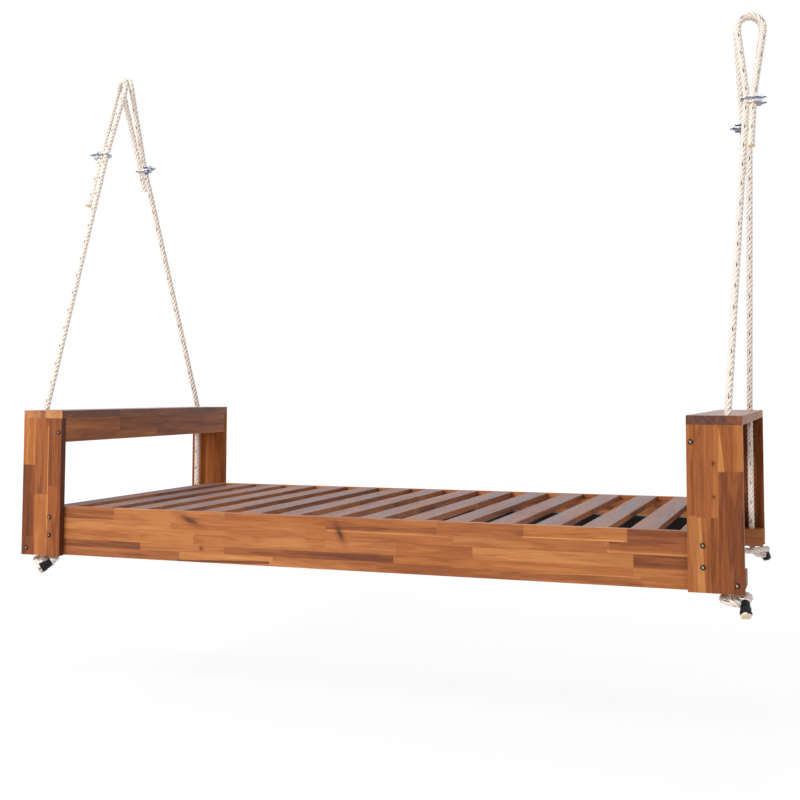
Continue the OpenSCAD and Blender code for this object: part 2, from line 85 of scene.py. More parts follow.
class Socket:
    """A socket in a finish. Reckoning with it adds Math nodes."""

    def __init__(self, tree, socket=None):
        self.tree, self.socket = tree, socket

    def node(self, kind, settings, links, out=0):
        """Any node: its type, its settings, and the values or links of its sockets."""
        made = self.tree.nodes.new("ShaderNode" + kind)
        for name, value in settings.items():
            if name == "stops":
                ramp = made.color_ramp
                while len(ramp.elements) < len(value):
                    ramp.elements.new(0.5)
                for stop, (place, colour) in zip(ramp.elements, value):
                    stop.position, stop.color = place, (*colour, 1)
            elif name == "interpolation":
                made.color_ramp.interpolation = value
            else:
                setattr(made, name, value)
        for name, value in links.items():
            if isinstance(value, Socket):
                self.tree.links.new(value.socket, made.inputs[name])
            elif isinstance(value, tuple) and made.inputs[name].type == "RGBA":
                made.inputs[name].default_value = (*value, 1)
            else:
                made.inputs[name].default_value = value
        return Socket(self.tree, made.outputs[out])

    def outs(self):
        """Everything that the node of this socket gives."""
        return [Socket(self.tree, out) for out in self.socket.node.outputs]

    def math(self, operation, a, b=0.0):
        return self.node("Math", {"operation": operation}, {0: a, 1: b})

    def __add__(self, other): return self.math("ADD", self, other)
    __radd__ = __add__
    def __sub__(self, other): return self.math("SUBTRACT", self, other)
    def __rsub__(self, other): return self.math("SUBTRACT", other, self)
    def __mul__(self, other): return self.math("MULTIPLY", self, other)
    __rmul__ = __mul__
    def __truediv__(self, other): return self.math("DIVIDE", self, other)
    def __pow__(self, other): return self.math("POWER", self, other)
    def __gt__(self, other): return self.math("GREATER_THAN", self, other)
    def __lt__(self, other): return self.math("LESS_THAN", self, other)
    def __abs__(self): return self.math("ABSOLUTE", self)
    def part(self): return self.math("FRACT", self)
    def whole(self): return self.math("FLOOR", self)

    def smooth(self, low, high):
        """0 below low, 1 above high, and smooth between them."""
        return self.node("MapRange", {"interpolation_type": "SMOOTHSTEP"},
                         {"Value": self, "From Min": low, "From Max": high})

    def between(self, colour, other):
        """From one colour to another, as this goes from 0 to 1."""
        return self.node("Mix", {"data_type": "RGBA"}, {0: self, 6: colour, 7: other}, 2)

    def mix(self, other, amount, how="MIX"):
        """This colour with another over it."""
        return self.node("Mix", {"data_type": "RGBA", "blend_type": how},
                         {0: amount, 6: self, 7: other}, 2)

    def noise(self, scale, detail=2.0, **more):
        """Soft clouds over this place, from 0 to 1. A larger scale makes them smaller."""
        return self.node("TexNoise", {}, {"Vector": self, "Scale": scale, "Detail": detail, **more})


def finish(name, **even):
    """A new finish: its material, its shader, and the place on the piece as a Socket.

    What is even all over it is given under the names of the shader's sockets.
    """
    material = bpy.data.materials.new(name)
    material.use_nodes = True
    tree = material.node_tree
    shader = tree.nodes["Principled BSDF"]
    for socket, value in even.items():
        socket = shader.inputs[socket.replace("_", " ")]
        socket.default_value = (*value, 1) if isinstance(value, tuple) else value
    return material, shader, Socket(tree).node("TexCoord", {}, {}, "Object")


def feed(shader, name, value):
    """Leads what varies over a surface into its shader."""
    value.tree.links.new(value.socket, shader.inputs[name])


def bump(shader, height, metres):
    """Puts a relief of that depth on a finish."""
    feed(shader, "Normal", height.node("Bump", {}, {"Height": height, "Distance": metres}))


def length_of(points):
    return sum((q - p).length for p, q in zip(points, points[1:]))


def along(points, step):
    """The points of a line, at even steps along it."""
    runs = [0]
    for p, q in zip(points, points[1:]):
        runs.append(runs[-1] + (q - p).length)
    count = max(2, round(runs[-1] / step))
    made, k = [], 0
    for j in range(count + 1):
        run = runs[-1] * j / count
        while k < len(points) - 2 and runs[k + 1] < run:
            k += 1
        made.append(points[k].lerp(points[k + 1], (run - runs[k]) / (runs[k + 1] - runs[k])))
    return made


def eased(points, reach):
    """A line with its corners rounded twice, each time over so many points on both sides."""
    for _ in range(2):
        made = []
        for j in range(len(points)):
            n = min(reach, j, len(points) - 1 - j)
            made.append(sum(points[j - n:j + n + 1], Vector()) / (2 * n + 1))
        points = made
    return points


ROPE_D, STRANDS = 0.020, 4
LAY = 0.065         # length of the rope over which a strand goes round once
COLUMNS = 32        # corners round the rope
CUT = -9            # the run that marks a cut end in the map of the lay
FLAT_END = 0.0002   # how far the middle of a plain end stands out
FRAYED_END = 0.0012


def strands(angle, run):
    """The radius of the rope at an angle to the crown of a strand, the same all along it."""
    off = (angle + math.pi / STRANDS) % (2 * math.pi / STRANDS) - math.pi / STRANDS
    return ROPE_D / 2 * math.cos(off)


def rope_mesh(name, points, first, shape=strands, flare=0, fray_l=0.028):
    """A rope along close points, whose columns of corners follow its lay.

    The crown of its first strand starts towards first. Its far end may spread by flare.
    """
    total = length_of(points)
    rings, turns, run = [], [], 0
    way = (points[1] - points[0]).normalized()
    side = (first - first.dot(way) * way).normalized()
    for j, point in enumerate(points):
        ahead = points[min(j + 1, len(points) - 1)] - points[max(j - 1, 0)]
        ahead.normalize()
        side = (side - side.dot(ahead) * ahead).normalized()
        third = ahead.cross(side)
        run += (point - points[j - 1]).length if j else 0
        frayed = max(0, 1 - (total - run) / fray_l)
        wider = 1 + flare * frayed ** 2 * (3 - 2 * frayed)
        ring = []
        for k in range(COLUMNS):
            angle = 2 * math.pi * k / COLUMNS
            turn = angle + 2 * math.pi * run / LAY
            ring.append((side * math.cos(turn) + third * math.sin(turn), shape(angle, run) * wider))
        rings.append((point, ahead, ring))
        turns.append(run / LAY)
    # Each end closes in two small rings and a middle point, so that it looks cut and sealed
    swell = FRAYED_END if flare else FLAT_END
    rows = [(rings[0], 0.62, -FLAT_END), (rings[0], 0.9, -FLAT_END / 2)]
    rows += [(ring, 1, 0) for ring in rings]
    rows += [(rings[-1], 0.9, swell * 0.7), (rings[-1], 0.62, swell)]
    turns = [turns[0]] * 2 + turns + [turns[-1]] * 2
    corners, faces, lays = [], [], []
    for (point, ahead, ring), size, over in rows:
        corners += [point + ahead * over + out * (reach * size) for out, reach in ring]
    for j in range(len(rows) - 1):
        sealed = j < 2 or j > len(rows) - 4
        for k in range(COLUMNS):
            round_it = ((j, k), (j, k + 1), (j + 1, k + 1), (j + 1, k))
            faces.append([row * COLUMNS + column % COLUMNS for row, column in round_it])
            for row, column in round_it:
                lays.append((CUT, 0) if sealed else (turns[row], column / COLUMNS + turns[row]))
    far = (len(rows) - 1) * COLUMNS
    for base, order, ring, over in ((0, -1, rings[0], -FLAT_END), (far, 1, rings[-1], swell)):
        corners.append(ring[0] + ring[1] * over)
        for k in range(COLUMNS):
            faces.append((base + k, base + (k + 1) % COLUMNS, len(corners) - 1)[::order])
            lays += [(CUT, 0)] * 3
    mesh = bpy.data.meshes.new(name)
    mesh.from_pydata(corners, [], faces)
    for loop, lay in zip(mesh.uv_layers.new(name="lay").uv, lays):
        loop.vector = lay
    mesh.shade_smooth()
    made = bpy.data.objects.new(name, mesh)
    bpy.context.scene.collection.objects.link(made)
    return made


rope_finish, shader, place = finish("rope", Roughness=0.82, Sheen_Weight=0.2, Sheen_Roughness=0.5)
lay = place.node("UVMap", {"uv_map": "lay"}, {})
run, turn, _ = place.node("SeparateXYZ", {}, {"Vector": lay}).outs()
# Each strand counts from 200 up, and its crown is in the middle of its share of the turn
strand = (turn - run) * STRANDS + 200.5
off_crown = abs(strand.part() - 0.5) * 2
# Painted shade in the grooves between the strands: the colour darkens towards each groove
groove_shade = off_crown.smooth(0.64, 0.98)
yarns = abs((turn * 34 + off_crown * 0.6).part() - 0.5) * 2
# The tracer yarn lies in one strand, and comes up once a lay on each side
tracer = abs((turn * 2).part() - 0.5) / 0.055
tracer = (tracer * tracer + off_crown * off_crown < 0.9) * ((strand.whole() / STRANDS).part() < 0.1)
cream = (place.noise(60.0).smooth(0.45, 0.75) * 0.6).between((0.95, 0.86, 0.78), (0.90, 0.79, 0.70))
# A faint painted shade where the yarns meet, then a stronger painted shade in the grooves between
# the strands
cream = cream.mix((0.78, 0.66, 0.57), yarns.smooth(0.5, 1.0) * 0.08)
cream = cream.mix((0.56, 0.41, 0.30), groove_shade * 0.72)
cream = cream.mix((0.14, 0.018, 0.028), tracer * 0.95)
# Cut ends are sealed with heat, and go ochre
cream = cream.mix((0.84, 0.64, 0.40), run < CUT / 2)
feed(shader, "Base Color", cream)
bump(shader, (1 - yarns) * 0.6 + place.noise(900.0, 3.0) * 0.3, 0.0001)

WIND = 0.012    # width of the tape that shows at each wind


def taped(angle, run):
    """The radius of the tape, which steps where each wind laps over the one before."""
    lap = (run / WIND + angle / (2 * math.pi) + run / LAY) % 1
    return ROPE_D / 2 * 1.08 + 0.3 * (strands(angle, run) - ROPE_D / 2) + 0.0005 * lap


# Glossy black tape is wound round each rope near its cut end
tape_finish, shader, place = finish("black tape", Specular_IOR_Level=0.22)
scuffs = place.noise(220.0, 3.0)
feed(shader, "Base Color",
     scuffs.smooth(0.5, 0.7).between((0.003, 0.003, 0.004), (0.02, 0.02, 0.032)))
feed(shader, "Roughness", scuffs * 0.3 + 0.08)
bump(shader, scuffs, 0.0008)

STEP = 0.003                                # between the points of a rope's line
ROPE_X, ROPE_Y, BEND_Z = 1.065, 0.471, 0.451 - HANG    # the bend at the cap
EYE_R, EYE_Z, HOOK_X = 0.040, -0.024, 1.112            # the turn of an eye
PAIR = 0.0204                               # middle to middle of the two ropes in a clip
EYE_GAP = 0.0004                            # between the two eyes on a hook
CLIP_FOOT, CLIP_HEAD = 0.0135, 0.0165       # how far the eye reaches below and above its clip
CLIP_GAP, TAIL_DROP, CLEAR = 0.0009, 0.003, 0.0006     # room between eye, rope and tail
# The knot in millimetres: along the bed, out of its long face, and up from the foot of the post
LOWER_TOP = 440.7
TURN_R, TURN_OFF, TURN_LOW, TURN_CLIMB, TURN_STEPS = 31, 10, -31.5, 21.9, 13
KNOT_LEAD = [(0, 0, -8), (2.5, -1.5, -16), (8.5, -5, -24), (18.5, -8.5, -30), (30, -8, -32)]
TAIL_OUT = [(43, 0, -9.6), (49.8, 9.6, -11.3), (50.5, 23.7, -14.8), (39, 39.5, -12.8)]
TAIL_ACROSS = [(43, 0, -9.6), (57.7, 5.9, -11.1), (68.9, 23.2, -12.2), (66.9, 38.5, -18.7)]
TAPE_FROM, TAPE_L, TAPE_BARE = 6, 36, 6
# name, side, row, side of the tail, turn of the eye, run to the clip, length of the tail,
# which way the knot is turned, route and direction of its tail
ROPES = [
    ("left_front", -1, -1, -1, -35, 0.975, 0.207, 1, TAIL_ACROSS, (-0.58, 0.58, -0.47)),
    ("left_back", -1, 1, -1, -35, 0.963, 0.080, -1, TAIL_OUT, (0.06, 0.44, -0.58)),
    ("right_front", 1, -1, 1, 15, 0.993, 0.160, 1, TAIL_OUT, (0.06, 0.44, -0.58)),
    ("right_back", 1, 1, -1, 15, 0.960, 0.149, 1, TAIL_OUT, (0.06, 0.44, -0.58))]

for name, side, row, tail_side, eye_turn, clip_run, tail_l, hand, knot_tail, tail_way in ROPES:
    def under_arm(p):
        """The place of a point of the knot."""
        return Vector((side * ROPE_X + hand * p[0] / 1000, row * (ROPE_Y + p[1] / 1000),
                       p[2] / 1000 - HANG))

    def beside(x, z):
        """The place so far beside the rope and so far up along it from the cap."""
        return bend + x * across + z * way

    turned = math.radians(eye_turn)
    eye_across = Vector((math.cos(turned), math.sin(turned), 0))
    eye_off = row * (ROPE_D + EYE_GAP) / 2 * Vector((-math.sin(turned), math.cos(turned), 0))
    eye = Vector((side * HOOK_X, 0, EYE_Z)) + eye_off
    bend = Vector((side * ROPE_X, row * ROPE_Y, BEND_Z))
    way = (eye - bend).normalized()
    leaning = math.atan2(way.x, way.z)
    across = Vector((math.cos(leaning), 0, -math.sin(leaning)))

    # The eye, from its foot in the clip over the hook and back
    foot, head = clip_run - CLIP_FOOT, clip_run + CLIP_HEAD
    line = [beside(0, foot), beside(0, head)]
    for k in range(25):
        t = math.pi * k / 24
        line.append(eye - tail_side * math.cos(t) * EYE_R * eye_across
                    + math.sin(t) * EYE_R * Vector((0, 0, 1)))
    line += [beside(tail_side * PAIR, head), beside(tail_side * PAIR, foot)]
    line = eased(along(line, STEP), 5)
    made = rope_mesh(name + "_eye_rope", line, across)
    made.data.materials.append(rope_finish)
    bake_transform(made)
    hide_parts(name + "_eye")
    length_of(line)

    # The hanging part, from under the clip to the bend at the cap, the knot and the cut end
    knot = [(0, 0, LOWER_TOP)] + [(0, 0, z) for z in range(400, 0, -40)] + KNOT_LEAD
    for k in range(TURN_STEPS):
        t = 2 * math.pi * k / TURN_STEPS
        knot.append((TURN_OFF + TURN_R * math.cos(t), TURN_R * math.sin(t),
                     TURN_LOW + TURN_CLIMB * k / (TURN_STEPS - 1)))
    end = Vector(knot_tail[-1]) + Vector(tail_way).normalized() * (TAPE_FROM + TAPE_L + TAPE_BARE)
    line = [beside(0, foot - CLIP_GAP - CLEAR), bend]
    line = eased(along(line + [under_arm(p) for p in knot + knot_tail + [end]], STEP), 4)
    made = rope_mesh(name + "_hanging_rope", line, across, flare=0.48, fray_l=0.045)
    made.data.materials.append(rope_finish)
    bend + 0.03 * way
    bend - Vector((0, 0, 0.03))
    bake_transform(made)
    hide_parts(name + "_rope", name + "_knot")

    # The tape on its straight end. The turn of the knot may come as near to the cut, so that
    # only the last points of the line count
    wound = [p for p in line
             if TAPE_BARE / 1000 <= (p - line[-1]).length <= (TAPE_BARE + TAPE_L) / 1000][-16:]
    tape = rope_mesh(name + "_tape", along(wound, 0.001), across, taped, flare=0.44, fray_l=0.039)
    tape.data.materials.append(tape_finish)
    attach(tape, "bed")
    if name == "left_front":
        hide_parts("knot_tapes")

    # The tail beside it, below the clip. Its cut end has frayed a little, or a lot, and the
    # last third of it bends away from the rope
    frayed = 0.38 if name == "left_front" else 0.12
    top = foot - TAIL_DROP - CLEAR
    tail = []
    for k in range(61):
        away = max(0, k / 60 * 3 - 2) ** 2 * frayed * ROPE_D / 2
        tail.append(beside(tail_side * (PAIR + away), top + (clip_run - tail_l - top) * k / 60))
    short = rope_mesh(name + "_tail_rope", tail, across, flare=frayed)
    short.data.materials.append(rope_finish)
    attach(short, name + "_rope")
    if tail_l < 0.14:
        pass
    else:
        (tail[-1] - tail[0]).length
    length_of(line)
for side in ("left", "right"):
    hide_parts(side + "_bights")

# ---- Clips ----
# Zinc-plated rope clips, one at the foot of each eye: a U-bolt round both ropes, a forged
# saddle, and two nuts that pull them together.


def facing_up(place):
    """1 where a surface faces up, 0 where it is upright and -1 where it faces down."""
    normal = place.node("NewGeometry", {}, {}, "Normal")
    return place.node("SeparateXYZ", {}, {"Vector": normal}, "Z")


zinc, shader, place = finish("zinc", Metallic=1.0)
cloud = place.noise(160.0, 3.0)
# Painted reflection in the base colour: blue-white where it faces up, darker down its sides, near
# black where it faces a little down and grey-blue underneath, in clouds
painted_reflection = place.node("ValToRGB", {"stops": [
    (0.12, (0.50, 0.53, 0.62)), (0.30, (0.06, 0.07, 0.095)),
    (0.44, (0.14, 0.16, 0.21)), (0.58, (0.86, 0.89, 0.94))]},
    {"Fac": facing_up(place) * 0.5 + 0.5 + (cloud - 0.5) * 0.7})
feed(shader, "Base Color", painted_reflection)
feed(shader, "Roughness", cloud * 0.3 + 0.08)


def clad(name, material):
    """Puts a finish on a CAD node."""
    nodes[name].data.materials.clear()
    nodes[name].data.materials.append(material)


for name in ("clip_u_bolts", "clip_saddles", "clip_nuts"):
    clad(name, zinc)

# ---- Rails ----
# Two long rails and two end rails, 150 mm high. Like every board of the bed they are glued up
# from narrow hardwood staves with butt joints, planed, eased at the edges and oiled. Staves run
# from honey to dark red-brown, some with knots and some with a streak of pale sapwood.
X, Y, Z = range(3)
STAVE_W = 0.031


def rows_of(seed, low, high, start, end, tones=(0.2, 0.35, 0.42, 0.5, 0.55, 0.65, 0.8),
            wide=STAVE_W):
    """Rows of staves over a board's width: (far edge of the row, [(start of stave, tone)])."""
    draw = random.Random(seed)
    count = max(1, round((high - low) / wide))
    rows = []
    for k in range(count):
        shift = draw.uniform(-0.22, 0.22) if k < count - 1 else 0
        staves, at = [], start - draw.uniform(0.02, 0.25)
        while at < end:
            staves.append((at, draw.choice(tones)))
            at += draw.uniform(0.2, 0.46)
        rows.append((low + (high - low) * (k + 1 + shift) / count, staves))
    return rows


def staved_wood(name, length, width, rows, start, end, streaks=(), knots=(), shine=0.25,
                worn=0.0, dull=0.0):
    """The finish of a board whose staves run along one axis and lie side by side on another.

    A streak runs from and to a place along the board, with its middle and half its width at
    both, and a change of tone. A knot has a place, half its length and width, and its slant.
    A worn board is greyed on top by so much, partly by weather and partly with a painted
    reflection, and duller there.
    """
    material, shader, place = finish(name, Specular_IOR_Level=shine)
    axes = place.node("SeparateXYZ", {}, {"Vector": place}).outs()
    axes[Z] = axes[Z] + HANG
    a, b = axes[length], axes[width]
    where = (a - start) / (end - start)
    # One ramp for each row holds the tone of its staves, a seed for each, and its figure
    stave = None
    for k, (edge, staves) in enumerate(rows):
        stops = []
        for j, (at, tone) in enumerate(staves):
            seed = (k * 0.37 + j * 0.618 + 0.13) % 1
            stops.append((min(1, max(0, (at - start) / (end - start))),
                          (tone, seed, (seed * 7.3) % 1)))
        ramp = where.node("ValToRGB", {"stops": stops, "interpolation": "CONSTANT"}, {"Fac": where})
        stave = ramp if stave is None else stave.mix(ramp, b > rows[k - 1][0])
    tone, seed, figure = stave.node("SeparateColor", {}, {"Color": stave}).outs()

    # Growth rings, fibres and pores, drawn out along the stave and different in each
    drawn_out = [1.0, 1.0, 1.0]
    drawn_out[length] = 0.07
    grain = place.node("VectorMath", {"operation": "MULTIPLY"}, {0: place, 1: tuple(drawn_out)})
    shift = seed.node("CombineXYZ", {}, {"X": seed * 37.0, "Y": seed * 91.0, "Z": figure * 53.0})
    grain = grain.node("VectorMath", {"operation": "ADD"}, {0: grain, 1: shift})
    broad = grain.noise(34.0, Distortion=0.4)
    fine = grain.noise(190.0, 4.0, Roughness=0.6)
    fibres = grain.noise(1000.0)
    ring = abs((broad * 7.0 + fine * 0.35).part() - 0.5) * 2
    depth = ((tone - 0.5) * 0.78 + 0.53 + (broad - 0.5) * 0.75 + (fine - 0.5) * 0.42
             + ring.smooth(0.3, 1.0) * 0.10)
    for from_at, to_at, from_mid, to_mid, from_half, to_half, change in streaks:
        t = (a - from_at) / (to_at - from_at)
        off = abs(b - (from_mid + t * (to_mid - from_mid)))
        inside = (from_half + t * (to_half - from_half)) - off
        depth = depth + inside.smooth(-0.0008, 0.0012) * (t > 0) * (t < 1) * change
    core = None
    for at_a, at_b, half_l, half_w, slant in knots:
        turned = math.radians(slant)
        da, db = a - at_a, b - at_b
        u = (da * math.cos(turned) + db * math.sin(turned)) / half_l
        v = (db * math.cos(turned) - da * math.sin(turned)) / half_w
        off = (u * u + v * v) ** 0.5 + (fine - 0.5) * 1.6 + (broad - 0.5) * 0.8
        depth = depth + (1 - off.smooth(0.7, 3.4)) * 0.2
        spot = 1 - off.smooth(0.35, 1.5)
        core = spot if core is None else core.math("MAXIMUM", core, spot)
    colour = depth.node("ValToRGB", {"stops": [
        (0.0, (0.640, 0.300, 0.095)), (0.25, (0.500, 0.190, 0.052)), (0.5, (0.370, 0.116, 0.029)),
        (0.75, (0.215, 0.060, 0.018)), (1.0, (0.095, 0.029, 0.012))]}, {"Fac": depth})
    # Some staves are pinker than others
    colour = colour.mix((0.94, 1.08, 1.7), figure * 0.35, "MULTIPLY")
    pores = fibres.smooth(0.60, 0.72)
    colour = colour.mix((0.10, 0.032, 0.012), pores * 0.22)
    if core:
        colour = colour.mix((0.075, 0.026, 0.013), core * 0.85)
    gloss = 0.42 + pores * 0.15 + fine * 0.12
    relief = fibres * 0.6 + fine * (1.6 if worn else 0.8)
    if worn:
        # Tops are greyed in patches, partly by the weather and partly with a painted reflection,
        # the blue-grey sheen of a bright room seen at a low angle
        facing = facing_up(place)
        top = facing.smooth(0.6, 0.95)
        weather_and_sheen = fine.smooth(0.36, 0.64) * 0.22 + broad.smooth(0.38, 0.62) * 0.48 + 0.34
        colour = colour.mix((0.275, 0.258, 0.300), top * weather_and_sheen * worn)
        # Rough-sawn ridges still show across them
        ridge = grain.noise(420.0, 3.0, Roughness=0.7)
        colour = colour.mix((0.050, 0.028, 0.024), (ridge * top).smooth(0.53, 0.64) * 0.7)
        relief = relief + ridge * 2.0
        gloss = gloss + facing * dull
    feed(shader, "Base Color", colour)
    feed(shader, "Roughness", gloss)
    bump(shader, relief, 0.0011 if worn else 0.00025)
    return material


def board(name, *staves, eased_by=0.0015, **more):
    """Gives a board its staved wood, and eases its sharp edges as sandpaper does."""
    clad(name, staved_wood(name, *staves, **more))
    flat = nodes[name].modifiers.new("one face a side", "DECIMATE")
    flat.decimate_type, flat.angle_limit = "DISSOLVE", math.radians(2)
    round_off = nodes[name].modifiers.new("eased edges", "BEVEL")
    round_off.width, round_off.segments = eased_by, 2
    round_off.limit_method, round_off.angle_limit = "ANGLE", math.radians(40)


# The front rail has five rows of staves, from the lowest up, and three knots
front_rows = [
    (0.030, [(-1.03, 0.45), (-0.553, 0.22), (-0.24, 0.33), (0.095, 0.4), (0.32, 0.5),
             (0.515, 0.46), (0.84, 0.45)]),
    (0.052, [(-1.03, 0.72), (-0.69, 0.38), (-0.4, 0.62), (-0.128, 0.8), (0.14, 0.42),
             (0.82, 0.33)]),
    (0.085, [(-1.03, 0.25), (-0.502, 0.35), (-0.065, 0.27), (0.15, 0.5), (0.372, 0.15),
             (0.815, 0.74)]),
    (0.117, [(-1.03, 0.2), (-0.58, 0.32), (-0.13, 0.42), (0.315, 0.46), (0.752, 0.6)]),
    (0.152, [(-1.03, 0.55), (-0.788, 0.3), (-0.4, 0.42), (-0.065, 0.5), (0.27, 0.52),
             (0.517, 0.34), (0.797, 0.68)])]
front_streaks = [
    (-0.553, -0.245, 0.004, 0.012, 0.0030, 0.0045, 0.45),
    (-0.06, 0.31, 0.1135, 0.1105, 0.003, 0.002, -0.2),
    (0.517, 0.797, 0.1195, 0.1195, 0.0015, 0.0015, -0.35),
    (0.752, 0.965, 0.091, 0.089, 0.004, 0.0015, -0.35),
    (0.515, 0.84, 0.0278, 0.0262, 0.0012, 0.0020, -0.3),
    (0.32, 0.515, 0.0285, 0.0278, 0.001, 0.0006, -0.3)]
front_knots = [(-0.515, 0.127, 0.026, 0.007, -20), (-0.020, 0.106, 0.018, 0.006, -62),
               (-0.472, 0.043, 0.004, 0.004, 0)]
RAIL_FOOT, RAIL_TOP, RAIL_RUN, END_RAIL_RUN = 0.002, 0.152, (-1.03, 1.03), (-0.5, 0.5)
board("front_rail", X, Z, front_rows, *RAIL_RUN, front_streaks, front_knots)
back_rows = rows_of(12, RAIL_FOOT, RAIL_TOP, *RAIL_RUN, (0.2, 0.3, 0.4, 0.45))
board("back_rail", X, Z, back_rows, *RAIL_RUN,
      knots=[(0.34, 0.071, 0.016, 0.006, 12), (-0.71, 0.124, 0.004, 0.004, 0)])
for k, name in enumerate(("left_end_rail", "right_end_rail")):
    rows = rows_of(21 + k, RAIL_FOOT, RAIL_TOP, *END_RAIL_RUN)
    board(name, Y, Z, rows, *END_RAIL_RUN)

# ---- Posts and rope blocks ----
# Four upright boards with a sapwood streak at some glue lines, bolted to the rails. Painted shade
# darkens the inner side face of the left front post and the staves of the right back one, under
# its arm. Behind the foot of each is a block of the same wood, bored for the rope and resting on
# its knot.
ARM_IN, ARM_OUT = 0.963, 1.105      # inner and outer edge of the posts, from mid-length
POST_RUN = (-0.1, 0.5)              # staves are laid past both ends of their board
BLOCK_H, BLOCK_RUN_L = 0.056, 0.15
post_rows = {
    "left_front": [(-1.060, [(-0.1, 0.80), (0.055, 0.78), (0.282, 0.44)]),
                   (-1.010, [(-0.1, 0.30), (0.19, 0.62)]),
                   (-0.963, [(-0.1, 0.62), (0.215, 0.72)])],
    "left_back": [(-1.06, [(-0.1, 0.68)]), (-1.005, [(-0.1, 0.44)]), (-0.963, [(-0.1, 0.62)])],
    "right_front": [(0.988, [(-0.1, 0.5), (0.195, 0.55)]), (1.008, [(-0.1, 0.5), (0.19, 0.5)]),
                    (1.043, [(-0.1, 0.52), (0.19, 0.4)]), (1.105, [(-0.1, 0.7), (0.308, 0.46)])],
    # The right back post's staves are darker than the front ones: a painted shade, where its arm
    # shades it
    "right_back": [(1.02, [(-0.1, 0.74)]), (1.064, [(-0.1, 0.84), (0.17, 0.76)]),
                   (1.105, [(-0.1, 0.74), (0.31, 0.86)])]}
post_streaks = {
    "left_front": [(0.08, 0.405, -1.0115, -1.0122, 0.0016, 0.0020, -0.38),
                   # This one is no sapwood: it darkens the post's inner side face along its whole
                   # height, a painted shade
                   (-0.1, 0.5, -0.963, -0.963, 0.0006, 0.0006, 0.45)],
    "right_front": [(-0.01, 0.191, 0.9985, 0.9935, 0.0105, 0.0055, -0.4),
                    (0.308, 0.424, 1.0515, 1.0455, 0.0085, 0.001, -0.38)]}
post_knots = {"right_front": [(0.33, 1.031, 0.0036, 0.0030, 0), (0.245, 1.031, 0.0030, 0.0026, 0)]}
for k, (end, side) in enumerate((("left", -1), ("right", 1))):
    low = min(side * ARM_IN, side * ARM_OUT)
    block_run = (low, low + BLOCK_RUN_L)
    for j, row in enumerate(("front", "back")):
        name = end + "_" + row
        board(name + "_post", Z, X, post_rows[name], *POST_RUN, post_streaks.get(name, ()),
              post_knots.get(name, ()), shine=0.14 if row == "front" else 0.02)
        rows = rows_of(71 + 7 * k + j, 0, BLOCK_H, *block_run)
        board(name + "_block", X, Z, rows, *block_run)

# ---- Arms ----
# A cap on top of each pair of posts and a rail under its inner edge. The first few millimetres
# of each cap's staves, at its front end, have a tone of their own: painted light on the left
# cap and painted shade on the right one.
ARM_RUN, ARM_RAIL_FOOT, ARM_RAIL_TOP = (-0.53, 0.53), 0.354, 0.429
cap_rows = {
    "left": [(-1.043, [(-0.53, 0.18), (-0.524, 0.4), (-0.1, 0.55)]),
             (-1.025, [(-0.53, 0.5), (-0.524, 0.5), (0.2, 0.6)]),
             (-0.963, [(-0.53, 0.08), (-0.524, 0.82), (-0.47, 1.0), (-0.215, 0.8), (0.3, 0.9)])],
    "right": [(1.015, [(-0.53, 0.98), (-0.524, 0.6), (0.05, 0.5)]),
              (1.062, [(-0.53, 0.92), (-0.524, 0.45), (-0.1, 0.6)]),
              (1.105, [(-0.53, 0.85), (-0.524, 0.55), (0.22, 0.45)])]}
arm_rows = {"left": [(0.384, [(-0.53, 0.55), (0.015, 0.65)]),
                     (0.429, [(-0.53, 0.45), (-0.215, 0.75)])],
            "right": rows_of(42, ARM_RAIL_FOOT, ARM_RAIL_TOP, -0.51, 0.51)}
for end in ("left", "right"):
    board(end + "_cap", Y, X, cap_rows[end], *ARM_RUN, shine=0.42, worn=0.28, dull=-0.08)
    board(end + "_arm_rail", Y, Z, arm_rows[end], *ARM_RUN)

# ---- Ledgers and slats ----
# Two ledgers run along the insides of the long rails. Sixteen slats of two staves lie on them,
# screwed from below, drier and greyer on top than the rest of the bed; the grey is partly
# weathering and partly a painted reflection.
LEDGER_FOOT, LEDGER_TOP, LEDGER_RUN = 0.115, 0.135, (-1.0, 1.0)
for k, name in enumerate(("front_ledger", "back_ledger")):
    rows = rows_of(91 + k, LEDGER_FOOT, LEDGER_TOP, *LEDGER_RUN)
    board(name, X, Z, rows, *LEDGER_RUN)
SLAT_W, SLAT_PITCH, SLAT_FIRST, SLAT_RUN = 0.070, 0.130, -0.975, (-0.481, 0.481)
for k in range(16):
    name = "slat_%02d" % (k + 1)
    middle = SLAT_FIRST + SLAT_PITCH * k
    rows = rows_of(101 + k, middle - SLAT_W / 2, middle + SLAT_W / 2, *SLAT_RUN,
                   (0.45, 0.55, 0.6, 0.7), SLAT_W / 2)
    # Every third has a knot
    knots = [(-0.2 + 0.13 * (k % 4), middle + 0.01, 0.012, 0.004, 10)] if k % 3 == 1 else []
    board(name, Y, X, rows, *SLAT_RUN, knots=knots, worn=0.65, dull=0.10, eased_by=0.002)

# ---- Beam and hangers ----
# A hollow beam under the middle of the slats and the two plates that carry its ends, of steel
# with a black powder coat, fine-grained like the peel of an orange.
black, shader, place = finish("black steel", Base_Color=(0.006, 0.006, 0.007), Roughness=0.5,
                              Specular_IOR_Level=0.25)
bump(shader, place.noise(700.0), 0.0002)
for name in ("centre_beam", "beam_hangers"):
    clad(name, black)

# ---- Bolts ----
# Sixteen M8 button-head bolts with a hexagon socket hold the posts to the arm rails, the long
# rails and the rope blocks. They are bronzed, and their sockets are a bright metal, a painted
# reflection.


def metal(name, bright, dark, speckle=300.0, rough=None):
    """A bare metal that is darker in specks. It is rougher there too, if rough is given."""
    material, shader, place = finish(name, Metallic=1.0, Roughness=0.3)
    cloud = place.noise(speckle)
    feed(shader, "Base Color", cloud.smooth(0.4, 0.7).between(bright, dark))
    if rough:
        feed(shader, "Roughness", cloud * 0.3 + rough)
    return material


